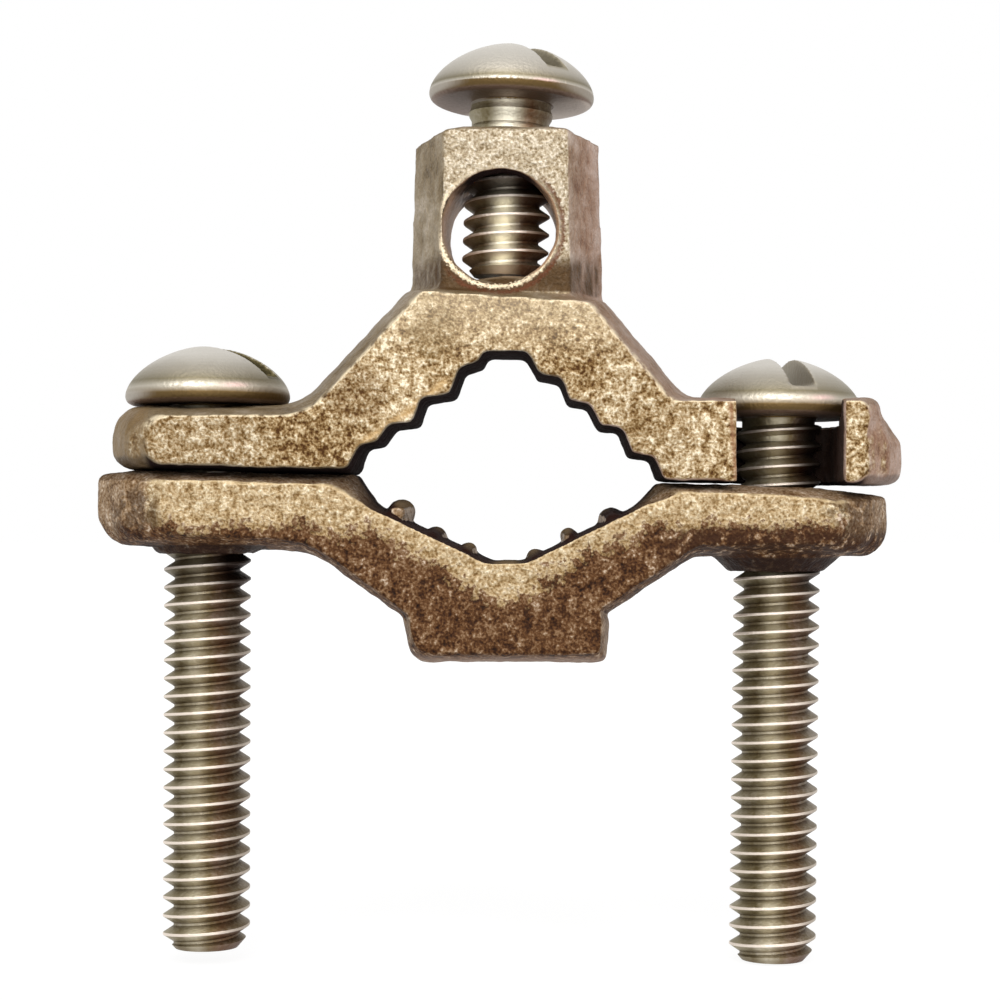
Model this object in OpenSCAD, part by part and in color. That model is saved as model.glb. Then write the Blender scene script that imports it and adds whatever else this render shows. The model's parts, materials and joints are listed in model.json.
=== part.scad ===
// Ground clamp for a small water pipe: two cast jaws drawn together by two screws,
// with a boss on top whose own screw grips the earthing wire.
// X runs along the jaws, Y along the pipe and Z up through the boss. The origin is on the
// pipe's centre line, halfway through the jaws' depth, on the split between the jaws.

/* [Jaws] */
// Depth of both castings along the pipe
jaw_depth = 13.2; // [12.6:0.1:18]
// Distance between the two clamp screws
screw_spacing = 40; // [37:0.1:46]
// How far the pipe seat lies from the middle of the two screws
seat_offset = 1.1; // [0:0.05:1.5]
// Gap between the castings at rest
jaw_gap = 0.2; // [0.15:0.05:1.5]
// Slope of the split between the castings
split_slope = 1.2; // [0:0.1:2]
// Half width of the pipe seat where it meets the split
seat_half = 10.5; // [10:0.1:12]
// How far the outer slopes lean in
slope_inset = 1.2; // [0.3:0.05:2]
// How far the lower jaw's mating face falls away towards the front and back
face_fall = 0.55; // [0.1:0.05:0.8]
// How much wider the upper seat is at the back than in the middle, as a share
seat_flare = 0.055; // [0:0.005:0.08]
// How far the ears' tops and undersides lean in
ear_inset = 0.85; // [0.2:0.05:1.2]

/* [Upper jaw] */
// How far the end faces lean in towards the front and back
upper_end_inset = 3.1; // [1:0.1:4.5]
// Metal beyond the left screw's axis
upper_left_end = 6.2; // [6:0.1:9]
// Metal beyond the right screw's axis
upper_right_end = 8.5; // [8.2:0.1:11]
// Height of the left ear's top above the split
left_ear_top = 5.1; // [4:0.1:7]
// Height of the right ear's top above the split
right_ear_top = 5.65; // [5:0.1:7]
// Depth of the recess that the right screw's head sits in
head_recess = 1.4; // [0.8:0.05:2]
// Drop of the wall behind the right ear's slot below that recess
slot_back_drop = 0.5; // [0.1:0.05:1]
// Height of the shoulder's left end under the boss
left_crown_top = 13; // [11.5:0.05:15]
// Height of its right end
right_crown_top = 12.25; // [11.5:0.05:15]
// How far that shoulder reaches to the left of the boss's middle
left_crown = 6.9; // [6.6:0.05:8]
// How far it reaches to the right
right_crown = 6.85; // [6.6:0.05:8]
// Angle of the left arm that runs down to its ear
left_arm_angle = 47; // [44:0.5:55]
// Angle of the right arm
right_arm_angle = 50; // [47:0.5:58]
// Height of the seat's flat crown above the split
upper_seat_top = 8.4; // [8:0.1:9.5]
// Half width of that flat
upper_seat_flat = 1.3; // [0.8:0.1:2]
// Teeth on each side of the upper seat
upper_teeth = 4; // [3:1:5]
// Diameter of the left ear's hole
left_hole_d = 7.2; // [6.6:0.1:8]
// Width of the right ear's open slot
slot_w = 7.3; // [6.6:0.1:8]
// How far that slot lies outwards of the right screw's axis
slot_shift = 0.35; // [0:0.05:0.35]

/* [Boss] */
// Width of the boss across its side ridges at its foot
boss_w = 13.6; // [12.6:0.1:13.8]
// That width at the top
boss_top_w = 12.9; // [11.5:0.05:13.2]
// Width of its flat front
boss_flat = 8.8; // [6:0.1:10]
// Depth of the boss along the wire
boss_depth = 10.6; // [9:0.1:12]
// Height of its top above the split
boss_top = 24.05; // [23:0.1:26]
// Bevel round its top
boss_edge = 0.35; // [0.1:0.05:1]
// Fillet where the boss meets the shoulder
boss_fillet = 0.7; // [0.2:0.05:1]
// Diameter of the wire hole
wire_hole_d = 7.65; // [6:0.05:8.2]
// Height of the wire hole's axis above the split
wire_hole_z = 17.2; // [16.8:0.1:18]
// How far the wire hole lies to the left of the wire screw
wire_hole_shift = 0.35; // [0:0.05:0.6]
// Bevel at the wire hole's two mouths
wire_hole_edge = 0.25; // [0.05:0.05:0.5]

/* [Lower jaw] */
// Metal beyond the left screw's axis
lower_left_end = 7.25; // [6.5:0.05:10]
// Metal beyond the right screw's axis
lower_right_end = 7.45; // [6.5:0.05:10]
// How far the left end face leans in towards the front and back
lower_left_inset = 5; // [1:0.1:5.5]
// How far the right end face leans in
lower_right_inset = 3.95; // [1:0.1:5]
// Depth of the left ear's underside below the split
left_ear_bottom = 5; // [4:0.1:6]
// Depth of the right ear's underside below the split
right_ear_bottom = 5.35; // [4:0.05:6]
// Depth of the seat's floor below the split
lower_seat_depth = 5.8; // [5:0.1:7]
// Half width of that floor
lower_seat_flat = 1.2; // [0.6:0.1:2]
// Slope of the lower seat's sides
lower_seat_angle = 26.5; // [22:0.5:29]
// Distance between the lower seat's ribs
rib_pitch = 2.45; // [2:0.05:2.6]
// Radius of a rib
rib_r = 0.85; // [0.5:0.05:1]
// Radius of a rib's ends
rib_end_r = 0.45; // [0.3:0.05:0.5]
// Depth of the foot's bottom below the split
foot_bottom = 12.7; // [11.5:0.1:15]
// Height of the foot's sides
foot_h = 3.1; // [2:0.1:3.2]
// Width of the foot
foot_w = 14.3; // [12:0.1:17]
// Angle of the arms' undersides
lower_arm_angle = 36; // [32:0.5:42]
// Height of the collar under the left ear
left_collar_h = 0.2; // [0.1:0.05:1.2]
// Height of the collar under the right ear
right_collar_h = 1.1; // [0.2:0.05:1.2]
// Width of metal around the screw at the left collar's top
left_collar_wall = 0.6; // [0.4:0.05:1.6]
// Width of metal around the screw at the right collar's top
right_collar_wall = 1.4; // [0.4:0.05:1.6]
// Width of metal around the screws at the collars' bottoms
collar_lip = 0.25; // [0.1:0.05:0.35]

/* [Screws] */
// Outer diameter of the threads
thread_d = 6.05; // [5.8:0.05:6.35]
// Pitch of the threads
thread_pitch = 1.27; // [1:0.01:1.5]
// Depth of the threads
thread_depth = 0.78; // [0.5:0.01:0.85]
// Length of a clamp screw under its head
clamp_screw_len = 37.9; // [30:0.1:44]
// Length of the wire screw under its head
wire_screw_len = 12.2; // [10.2:0.1:20]
// How far the wire screw's tip stops short of the wire hole's floor
wire_tip_gap = 0.75; // [0.5:0.05:3]
// Diameter of the heads
head_d = 11.5; // [10:0.1:12]
// Height of the heads
head_h = 4.25; // [3.4:0.05:5]
// Height of a head's rim above its flat underside
head_rim = 0.65; // [0.4:0.05:0.8]
// Width of the driver slots
driver_slot_w = 1.75; // [1:0.05:2]
// Depth of the driver slots
driver_slot_depth = 2.3; // [1:0.05:2.4]
// Direction of the left clamp screw's driver slot, in degrees
left_slot_turn = -32; // [-90:1:90]
// Direction of the right clamp screw's driver slot
right_slot_turn = -68; // [-90:1:90]
// Direction of the wire screw's driver slot
wire_slot_turn = -44; // [-90:1:90]

/* [Fits] */
// Radial clearance of a thread in its tapped hole
thread_fit = 0.05; // [0.02:0.01:0.1]
// Clearance under a clamp screw's head
head_fit = 0.05; // [0.02:0.01:0.1]
// Radial clearance of a head in its recess
recess_fit = 0.35; // [0.2:0.05:0.4]

/* [Hidden] */
$fn = 64;
bronze = [0.74, 0.6, 0.38];
nickel = [0.72, 0.69, 0.64];
far = 60;

left_x = -(screw_spacing / 2 + seat_offset);
right_x = screw_spacing / 2 - seat_offset;
thread_r = thread_d / 2;
tapped_r = thread_r + thread_fit;
right_seat_z = right_ear_top - head_recess;
wire_seat_z = wire_hole_z - wire_hole_d / 2 + wire_tip_gap + wire_screw_len;

// Front-to-back layers of a casting, as shares of half its depth, and how much of the inset
// each one has: a flat band runs round the middle, and the sides lean in from it.
layer_at = [-1, -0.75, -0.35, 0.35, 0.75, 1];
layer_inset = [1, 0.42, 0, 0, 0.42, 1];
layer_flare = [0, 0, 0, 0.3, 0.7, 1];
arc_steps = 5;

// Height of the jaws' mating faces at x
function split_z(x) = -x * tan(split_slope);
function upper_face(x) = split_z(x) + jaw_gap / 2;
function lower_face(x) = split_z(x) - jaw_gap / 2;

function unit(v) = v / norm(v);
function turned(a) = a > 180 ? a - 360 : a < -180 ? a + 360 : a;

// Corner p rounded to radius r between its neighbours a and b, as points along the arc
function rounded(a, p, b, r) =
    let (u = unit(a - p), v = unit(b - p), half = acos(u * v) / 2,
         room = 0.48 * min(norm(a - p), norm(b - p)),
         reach = min(r / tan(half), room), fit_r = reach * tan(half),
         centre = p + unit(u + v) * fit_r / sin(half),
         from = p + u * reach - centre, to = p + v * reach - centre,
         a0 = atan2(from[1], from[0]),
         sweep = turned(atan2(to[1], to[0]) - a0))
    r == 0 ? [p] : [for (i = [0 : arc_steps]) let (t = a0 + sweep * i / arc_steps)
        centre + fit_r * [cos(t), sin(t)]];

// One layer of a casting. Each corner is [x, z, radius, inset x, inset z] and, where it widens
// towards the back, by what share it does.
function layer(corners, k) =
    let (n = len(corners), share = layer_inset[k],
         at = [for (c = corners) let (wide = len(c) > 5 ? 1 + c[5] * layer_flare[k] : 1)
             [wide * c[0] + share * c[3], wide * c[1] + share * c[4]]])
    [for (i = [0 : n - 1]) each rounded(at[(i + n - 1) % n], at[i], at[(i + 1) % n], corners[i][2])];

// Triangles that fill a flat anticlockwise outline, by cutting off one corner at a time
function side_of(a, b, p) = cross(b - a, p - a);
function holds(a, b, c, p) = side_of(a, b, p) >= 0 && side_of(b, c, p) >= 0 && side_of(c, a, p) >= 0;
function clear_ear(at, a, b, c, left) =
    side_of(at[a], at[b], at[c]) > 0.0001
    && len([for (j = left) if (j != a && j != b && j != c && holds(at[a], at[b], at[c], at[j])) j]) == 0;
function fill(at, left, k = 0, done = []) =
    let (n = len(left), i = k % n, a = left[(i + n - 1) % n], b = left[i], c = left[(i + 1) % n])
    n == 3 ? concat(done, [left])
    : !clear_ear(at, a, b, c, left) ? fill(at, left, k + 1, done)
    : fill(at, [for (j = [0 : n - 1]) if (j != i) left[j]], i + 1, concat(done, [[a, b, c]]));

// Solid through rings of points that run anticlockwise as seen from the first ring's side.
// The triangles of cap close the first ring, and those of end_cap the last one.
module loft(rings, cap, end_cap) {
    last = len(rings) - 1;
    n = len(rings[0]);
    polyhedron(
        points = [for (ring = rings) each ring],
        faces = concat(
            [for (f = cap) [f[2], f[1], f[0]]],
            [for (f = end_cap) [for (i = f) last * n + i]],
            [for (k = [0 : last - 1], i = [0 : n - 1], upper = [false, true])
                let (j = (i + 1) % n, a = k * n + i, b = k * n + j)
                upper ? [a, b + n, a + n] : [a, b, b + n]]),
        convexity = 10);
}

// A casting with its corners given anticlockwise as seen from the front
module casting(corners) {
    rings = [for (k = [0 : len(layer_at) - 1]) [for (p = layer(corners, k))
        [p[0], layer_at[k] * jaw_depth / 2, p[1]]]];
    every = [for (i = [0 : len(rings[0]) - 1]) i];
    loft(rings, fill(layer(corners, 0), every), fill(layer(corners, len(layer_at) - 1), every));
}

// Upper seat: a stair of teeth down each side of the flat crown
tooth_run = (seat_half - upper_seat_flat) / (upper_teeth + 0.4);
tooth_rise = upper_seat_top / (upper_teeth + 0.73);
tooth_shelf = 0.57;
tooth_draft = 0.2;
tooth_dip = 0.14;
function tooth_tip(i) = [upper_seat_flat + tooth_run * (i + 0.4), upper_seat_top - tooth_rise * (i + 0.73)];
function tooth_root(i) = tooth_tip(i) + [tooth_shelf * tooth_run, -tooth_dip * tooth_rise];
function stair_corner(p, side) =
    [side * p[0], p[1] + split_z(side * p[0]), 0.35, side * tooth_draft, tooth_draft, seat_flare];

// The teeth are cast unevenly: how far each tip and each root lies outwards of and above its
// even place, from the crown down
left_uneven = [[[-0.48, 0.55], [-0.43, 0.38]], [[-0.68, 0.13], [0.13, 0]],
    [[-0.22, -0.08], [0.24, -0.06]], [[0.09, 0.3], [0.05, 0.37]]];
right_uneven = [[[0, -0.2], [0.27, -0.18]], [[-0.03, -0.14], [0.08, -0.11]],
    [[-0.02, -0.07], [0.19, 0.05]], [[-0.06, -0.1], [0.3, -0.03]]];
function off_even(table, i, which) = i < len(table) ? table[i][which] : [0, 0];

upper_stair_left = [for (i = [upper_teeth - 1 : -1 : 0],
        p = [tooth_root(i) + off_even(left_uneven, i, 1), tooth_tip(i) + off_even(left_uneven, i, 0)])
    stair_corner(p, -1)];
upper_stair_right = [for (i = [0 : upper_teeth - 1],
        p = [tooth_tip(i) + off_even(right_uneven, i, 0), tooth_root(i) + off_even(right_uneven, i, 1)])
    stair_corner(p, 1)];

// Where an arm's slope, dropped from the crown, meets an ear's top
function arm_foot(crown, crown_top, angle, ear_top) = crown + (crown_top - ear_top) / tan(angle);
// Sideways inset of a corner on that slope that also drops by some height
function arm_inset(drop, angle) = drop / tan(angle) - slope_inset / sin(angle);

upper_left_x = left_x - upper_left_end;
upper_right_x = right_x + upper_right_end;
lug_w = 1.65;
lug_shoulder = 0.42;
crown_inset = 0.33;
left_face_lift = 0.3;

upper_corners = concat(
    [[upper_left_x, upper_face(upper_left_x), 1.3, upper_end_inset, left_face_lift],
     [-seat_half, upper_face(-seat_half), 0.4, -tooth_draft, left_face_lift]],
    upper_stair_left,
    [[-upper_seat_flat, upper_seat_top, 0.5, -tooth_draft, tooth_draft, seat_flare],
     [upper_seat_flat, upper_seat_top, 0.5, tooth_draft, tooth_draft, seat_flare]],
    upper_stair_right,
    [[seat_half, upper_face(seat_half), 0.4, tooth_draft, 0],
     [upper_right_x, upper_face(upper_right_x), 1.1, -upper_end_inset, 0.1],
     [upper_right_x, lug_shoulder * right_ear_top, 1.6, -upper_end_inset, 0],
     [upper_right_x - 0.8 * lug_w, 0.76 * right_ear_top, 1.2, lug_w - upper_end_inset, 0],
     [upper_right_x - lug_w, right_ear_top, 0.9, lug_w - upper_end_inset, -ear_inset / 2],
     [arm_foot(right_crown, right_crown_top, right_arm_angle, right_ear_top), right_ear_top, 1.8,
      arm_inset(ear_inset / 2, right_arm_angle), -ear_inset / 2],
     [right_crown, right_crown_top, 0.4, arm_inset(crown_inset, right_arm_angle), -crown_inset],
     [-left_crown, left_crown_top, 0.4, -arm_inset(crown_inset, left_arm_angle), -crown_inset],
     [-arm_foot(left_crown, left_crown_top, left_arm_angle, left_ear_top), left_ear_top, 4,
      -arm_inset(ear_inset, left_arm_angle), -ear_inset],
     [upper_left_x, left_ear_top, 2.2, upper_end_inset, -ear_inset]]);

// The boss is six-sided, narrows towards its top and has a bevel round it. A fillet leads from
// its foot to the shoulder's sloping top.
boss_foot = upper_seat_top + 1.5;
fillet_steps = 4;
fillet_sink = 0.15;
function crown_z(x) = right_crown_top
    + (left_crown_top - right_crown_top) * (right_crown - x) / (right_crown + left_crown);
boss_taper = (boss_w - boss_top_w) / 2 / (boss_top - boss_foot);
function boss_ring(z, inset) =
    let (i = inset + boss_taper * (z - boss_foot), w = boss_w / 2 - i, f = boss_flat / 2 - i / 2,
         d = boss_depth / 2 - i)
    [for (p = [[-w, 0], [-f, -d], [f, -d], [w, 0], [f, d], [-f, d]]) [p[0], -p[1], z]];

function fillet_ring(t) =
    let (z = crown_z(0) - fillet_sink + boss_fillet * (1 - cos(t)))
    [for (p = boss_ring(z, -boss_fillet * (1 - sin(t)))) [p[0], p[1], z + crown_z(p[0]) - crown_z(0)]];

module boss() {
    cap = [for (i = [1 : 4]) [0, i, i + 1]];
    loft(concat(
             [boss_ring(boss_foot, 0.5)],
             [for (k = [0 : fillet_steps]) fillet_ring(90 * k / fillet_steps)],
             [boss_ring(boss_top - boss_edge, 0), boss_ring(boss_top, boss_edge)]),
         cap, cap);
}

// The hole for the wire, bevelled where it meets the boss's front and back
module wire_hole() {
    mouth = boss_depth / 2 - boss_taper * (wire_hole_z - boss_foot);
    translate([-wire_hole_shift, 0, wire_hole_z])
        rotate([90, 0, 0]) {
            cylinder(h = far, d = wire_hole_d, center = true);
            for (back = [0, 1]) mirror([0, 0, back]) translate([0, 0, mouth - wire_hole_edge])
                cylinder(h = 2 * wire_hole_edge, r1 = wire_hole_d / 2,
                         r2 = wire_hole_d / 2 + 2 * wire_hole_edge);
        }
}

// Room for a clamp screw's head above its seat
module head_seat() {
    cylinder(h = far, r = head_d / 2 + recess_fit);
}

// The right ear's slot, open to the front, with the recess for the screw's head
module ear_slot() {
    translate([right_x + slot_shift, 0, -far / 2]) {
        cylinder(h = far, d = slot_w);
        translate([-slot_w / 2, -far, 0]) cube([slot_w, far, far]);
    }
    translate([right_x, 0, right_seat_z]) head_seat();
    translate([right_x + slot_shift - slot_w / 2, 0, right_seat_z - slot_back_drop])
        cube([slot_w, far, far]);
}

module upper_jaw() {
    color(bronze)
    difference() {
        union() {
            casting(upper_corners);
            boss();
        }
        wire_hole();
        translate([0, 0, wire_hole_z]) cylinder(h = far, r = tapped_r);
        translate([left_x, 0, -far / 2]) cylinder(h = far, d = left_hole_d);
        translate([left_x, 0, left_ear_top]) head_seat();
        ear_slot();
    }
}

// Lower seat: its sides rise from the floor, with ribs that stand higher the further out they are
rib_count = 3;
rib_rise = 0.3;
lower_left_x = left_x - lower_left_end;
lower_right_x = right_x + lower_right_end;
wall_foot = seat_half - 1.45;
function lower_seat_z(x) = (abs(x) - lower_seat_flat) * tan(lower_seat_angle) - lower_seat_depth;
function lower_arm_end(ear_bottom) =
    foot_w / 2 + (foot_bottom - foot_h - ear_bottom) / tan(lower_arm_angle);

left_droop = 0.35;
right_droop = 0.6;
left_land = left_x - 0.62 * lower_left_end;
right_land = right_x + 0.24 * lower_right_end;
land_share = 0.75;
ear_rise = 0.45;
foot_waist = 0.25;
lower_corners = [
    [-foot_w / 2 + 0.5, -foot_bottom, 1.5, 0.5, 0.8],
    [foot_w / 2 - foot_waist, -foot_bottom, 0.5, -0.5, 0.8],
    [foot_w / 2, foot_h - foot_bottom - foot_waist, 0.6, -0.6, 0.4],
    [foot_w / 2 - foot_waist, foot_h - foot_bottom + foot_waist, 0.15, -0.6, 0.4],
    [lower_arm_end(right_ear_bottom), -right_ear_bottom, 1.6, 0, ear_inset],
    [lower_right_x, -right_ear_bottom, 1.8, -lower_right_inset, ear_inset],
    [lower_right_x, lower_face(lower_right_x) - right_droop, 0.4, -lower_right_inset, -face_fall / 2],
    [right_land, lower_face(right_land), 2, -land_share * lower_right_inset, -face_fall],
    [seat_half, lower_face(seat_half), 0.6, 1.5, -face_fall],
    [wall_foot, lower_seat_z(wall_foot), 0.5, 0.3, 0],
    [lower_seat_flat, -lower_seat_depth, 1.2, 0, 0],
    [-lower_seat_flat, -lower_seat_depth, 1.2, 0, 0],
    [-wall_foot, lower_seat_z(wall_foot), 0.5, -0.3, 0],
    [-seat_half, lower_face(-seat_half), 0.6, -1.5, -face_fall],
    [left_land, lower_face(left_land), 2, land_share * lower_left_inset, -face_fall],
    [lower_left_x, lower_face(lower_left_x) - left_droop, 0.8, lower_left_inset, -face_fall / 2],
    [lower_left_x, ear_rise - left_ear_bottom, 3.6, lower_left_inset, ear_inset],
    [-lower_arm_end(left_ear_bottom), -left_ear_bottom, 6, 0, ear_inset],
    [-foot_w / 2, foot_h - foot_bottom, 0.8, 0.6, 0.4]];

// The ribs are cast unevenly too: how far each lies outwards of and above its even place, and how
// much thicker it is, from the floor up
left_rib_uneven = [[0.25, 0.46, -0.25], [0.1, 0.08, -0.05], [0.05, 0.47, 0.1]];
right_rib_uneven = [[-0.4, 0, -0.15], [-0.6, -0.03, -0.25], [-0.05, -0.15, 0.1]];

// A rib across one side of the seat, thickest in the middle
module rib(side, i) {
    even = i * rib_pitch;
    off = (side < 0 ? left_rib_uneven : right_rib_uneven)[i - 1];
    r = rib_r + off[2];
    for (back = [0, 1])
        translate([side * (even + off[0]), 0, lower_seat_z(even) + i * rib_rise + off[1] - r])
            mirror([0, back, 0])
                rotate([90, 0, 0])
                    cylinder(h = jaw_depth / 2 - rib_r, r1 = r, r2 = r * rib_end_r / rib_r, $fn = 32);
}

module collar(x, ear_bottom, height, wall) {
    overlap = 1;
    translate([x, 0, -ear_bottom]) cylinder(h = overlap, r = tapped_r + wall);
    translate([x, 0, -ear_bottom - height])
        cylinder(h = height, r1 = tapped_r + collar_lip, r2 = tapped_r + wall);
}

module lower_jaw() {
    color(bronze)
    difference() {
        union() {
            casting(lower_corners);
            for (side = [-1, 1], i = [1 : rib_count]) rib(side, i);
            collar(left_x, left_ear_bottom, left_collar_h, left_collar_wall);
            collar(right_x, right_ear_bottom, right_collar_h, right_collar_wall);
        }
        for (x = [left_x, right_x]) translate([x, 0, -far / 2]) cylinder(h = far, r = tapped_r);
    }
}

// Round-headed slotted screw with its head's underside at z = 0. The thread is cut as rings.
dome_steps = 9;
dome_power = 1.7;
tip_r = 0.68 * thread_r;
function dome(t) = [head_d / 2 * pow(cos(t), 2 / dome_power),
                    head_rim + (head_h - head_rim) * pow(sin(t), 2 / dome_power)];
root_r = thread_r - thread_depth;
function thread_ring(z) = [
    [root_r, z + thread_pitch / 8], [root_r, z - thread_pitch / 8],
    [thread_r, z - thread_pitch * 7 / 16], [thread_r, z - thread_pitch * 9 / 16]];

module screw(length, slot_turn) {
    rings = floor(length / thread_pitch) - 2;
    difference() {
        rotate_extrude()
            polygon(concat(
                [for (i = [0 : dome_steps]) dome(90 - 90 * i / dome_steps)],
                [[head_d / 2 - 0.12 * head_rim, 0.4 * head_rim], [head_d / 2 - 0.6 * head_rim, 0],
                 [thread_r, 0], [thread_r, -thread_pitch]],
                [for (k = [1.5 : 1 : rings + 0.5]) each thread_ring(-k * thread_pitch)],
                [[tip_r, -length], [0, -length]]));
        rotate([0, 0, slot_turn])
            translate([-far / 2, -driver_slot_w / 2, head_h - driver_slot_depth])
                cube([far, driver_slot_w, far]);
    }
}

module left_clamp_screw() {
    color(nickel) translate([left_x, 0, left_ear_top + head_fit]) screw(clamp_screw_len, left_slot_turn);
}

module right_clamp_screw() {
    color(nickel) translate([right_x, 0, right_seat_z + head_fit]) screw(clamp_screw_len, right_slot_turn);
}

module wire_screw() {
    color(nickel) translate([0, 0, wire_seat_z]) screw(wire_screw_len, wire_slot_turn);
}

upper_jaw();
lower_jaw();
left_clamp_screw();
right_clamp_screw();
wire_screw();
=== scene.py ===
import json
import math

import bpy
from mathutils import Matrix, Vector

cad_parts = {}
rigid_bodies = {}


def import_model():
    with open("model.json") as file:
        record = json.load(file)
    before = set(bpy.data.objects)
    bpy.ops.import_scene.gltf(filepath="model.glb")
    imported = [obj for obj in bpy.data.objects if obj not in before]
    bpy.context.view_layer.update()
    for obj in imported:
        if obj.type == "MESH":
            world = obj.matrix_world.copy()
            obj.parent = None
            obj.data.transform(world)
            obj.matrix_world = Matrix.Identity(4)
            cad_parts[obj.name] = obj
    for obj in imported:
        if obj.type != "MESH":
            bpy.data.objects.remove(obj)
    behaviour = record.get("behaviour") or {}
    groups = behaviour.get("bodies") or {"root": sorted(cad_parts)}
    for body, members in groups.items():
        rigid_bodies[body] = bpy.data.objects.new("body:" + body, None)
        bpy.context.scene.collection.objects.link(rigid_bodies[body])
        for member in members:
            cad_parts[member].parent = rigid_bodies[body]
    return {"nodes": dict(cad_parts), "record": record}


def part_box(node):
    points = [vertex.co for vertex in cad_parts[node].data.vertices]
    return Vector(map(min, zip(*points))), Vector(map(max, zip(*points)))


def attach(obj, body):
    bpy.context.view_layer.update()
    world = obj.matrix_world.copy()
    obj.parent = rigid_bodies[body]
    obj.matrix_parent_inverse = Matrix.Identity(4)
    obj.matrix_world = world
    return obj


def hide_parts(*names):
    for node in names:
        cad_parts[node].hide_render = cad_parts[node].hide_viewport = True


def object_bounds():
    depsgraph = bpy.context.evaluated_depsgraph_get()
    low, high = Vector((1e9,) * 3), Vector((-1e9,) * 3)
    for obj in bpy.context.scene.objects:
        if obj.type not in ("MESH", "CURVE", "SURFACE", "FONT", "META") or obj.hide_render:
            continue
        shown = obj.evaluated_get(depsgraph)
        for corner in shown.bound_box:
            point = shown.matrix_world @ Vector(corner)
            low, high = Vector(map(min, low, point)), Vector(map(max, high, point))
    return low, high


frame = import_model()
cad_box = [list(corner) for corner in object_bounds()]

# Sizes in millimetres, with the screws' and the wire hole's places from the frame

MM = 0.001

PITCH = 1.27
THREAD_R, ROOT_R = 3.025, 2.28
TIP_R, TIP_BEVEL = 0.72 * THREAD_R, 1.0
CLAMP_SCREW_LENGTH, WIRE_SCREW_LENGTH = 37.9, 12.2
HEAD_R, HEAD_H, HEAD_RIM = 5.75, 4.25, 0.65
DOME_POWER = 2 / 1.7
DRIVER_SLOT_W, DRIVER_SLOT_DEPTH = 1.75, 2.3

SPLIT_SLOPE = math.tan(math.radians(1.2))
EAR_SLOT_X, EAR_SLOT_LIP_X = 19.25, 15.55
BOSS_TOP = 24.07
VOXEL, SKIN_LUMP = 0.2, 1.3
SHANK_STEPS, HEAD_STEPS = 48, 96
WELD = 0.004

mounts = {mount["name"]: mount["pos_m"] for mount in frame["record"]["mounts"]}
HOLE_X, HOLE_Z = (round(mounts["wire_hole"][axis] / MM, 3) for axis in (0, 2))


class Screw:
    """A screw's axis and seat, from its CAD node, and how it stands in its hole.

    It leans by lean degrees to the right and by tilt degrees to the back, about the height pivot, and stands
    aside millimetres to the right of the node's axis. Its driver slot is turned by slot_turn degrees.
    """

    def __init__(self, node, length, slot_turn, lean, tilt, pivot, aside):
        low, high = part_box(node)
        self.node, self.length = node, length
        self.x = round((low[0] + high[0]) / 2 / MM, 3)
        self.seat = round(low[2] / MM + length, 3)
        self.slot_turn = math.radians(slot_turn)
        self.lean, self.tilt = math.radians(lean), math.radians(tilt)
        self.pivot, self.aside = pivot, aside


LEFT = Screw(
    "left_clamp_screw", CLAMP_SCREW_LENGTH, slot_turn=-20, lean=0.0, tilt=1.2, pivot=-2.5, aside=0.06)
RIGHT = Screw(
    "right_clamp_screw", CLAMP_SCREW_LENGTH, slot_turn=-76, lean=0.8, tilt=1.2, pivot=-2.5, aside=0.1)
WIRE = Screw(
    "wire_screw", WIRE_SCREW_LENGTH, slot_turn=-52, lean=2.2, tilt=2.2, pivot=20.0, aside=0.05)


# Handling pieces

def mm(*place):
    """A place or a move in millimetres, as metres."""
    return tuple(part * MM for part in place)


def only(*pieces):
    """Selects these objects alone, the first one active."""
    bpy.ops.object.select_all(action="DESELECT")
    for piece in pieces:
        piece.select_set(True)
    bpy.context.view_layer.objects.active = pieces[0]


class editing:
    """Opens one piece in edit mode with all of it selected, and closes it again."""

    def __init__(self, piece):
        self.piece = piece

    def __enter__(self):
        only(self.piece)
        bpy.ops.object.mode_set(mode="EDIT")
        bpy.ops.mesh.select_all(action="SELECT")

    def __exit__(self, *failure):
        bpy.ops.object.mode_set(mode="OBJECT")


def modify(piece, kind, **settings):
    """Adds a modifier to the piece and applies it."""
    only(piece)
    made = piece.modifiers.new(kind.lower(), kind)
    for name, value in settings.items():
        setattr(made, name, value)
    bpy.ops.object.modifier_apply(modifier=made.name)


def place(piece):
    """Puts a piece's move, turn and size into its mesh."""
    only(piece)
    bpy.ops.object.transform_apply(location=True, rotation=True, scale=True)


def start(primitive, **settings):
    """Adds a primitive by itself, with its place in its mesh."""
    bpy.ops.object.select_all(action="DESELECT")
    primitive(**settings)
    piece = bpy.context.active_object
    place(piece)
    return piece


def cut(piece, tool, operation="DIFFERENCE"):
    """Cuts the tool out of the piece, or keeps what they share, and removes the tool."""
    modify(piece, "BOOLEAN", operation=operation, object=tool, solver="EXACT")
    bpy.data.objects.remove(tool, do_unlink=True)


def coat(piece, finish):
    piece.data.materials.clear()
    piece.data.materials.append(finish)


def stand_for(piece, node):
    """Lets a piece ride and show in place of a CAD node, whose body has the node's name."""
    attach(piece, node)
    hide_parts(node)


# Handling materials

def linear(*colour):
    """A colour given as it looks, from 0 to 255, in the linear values that sockets take."""
    return tuple(c / 12.92 / 255 if c < 10.3 else ((c / 255 + 0.055) / 1.055) ** 2.4 for c in colour)


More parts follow.
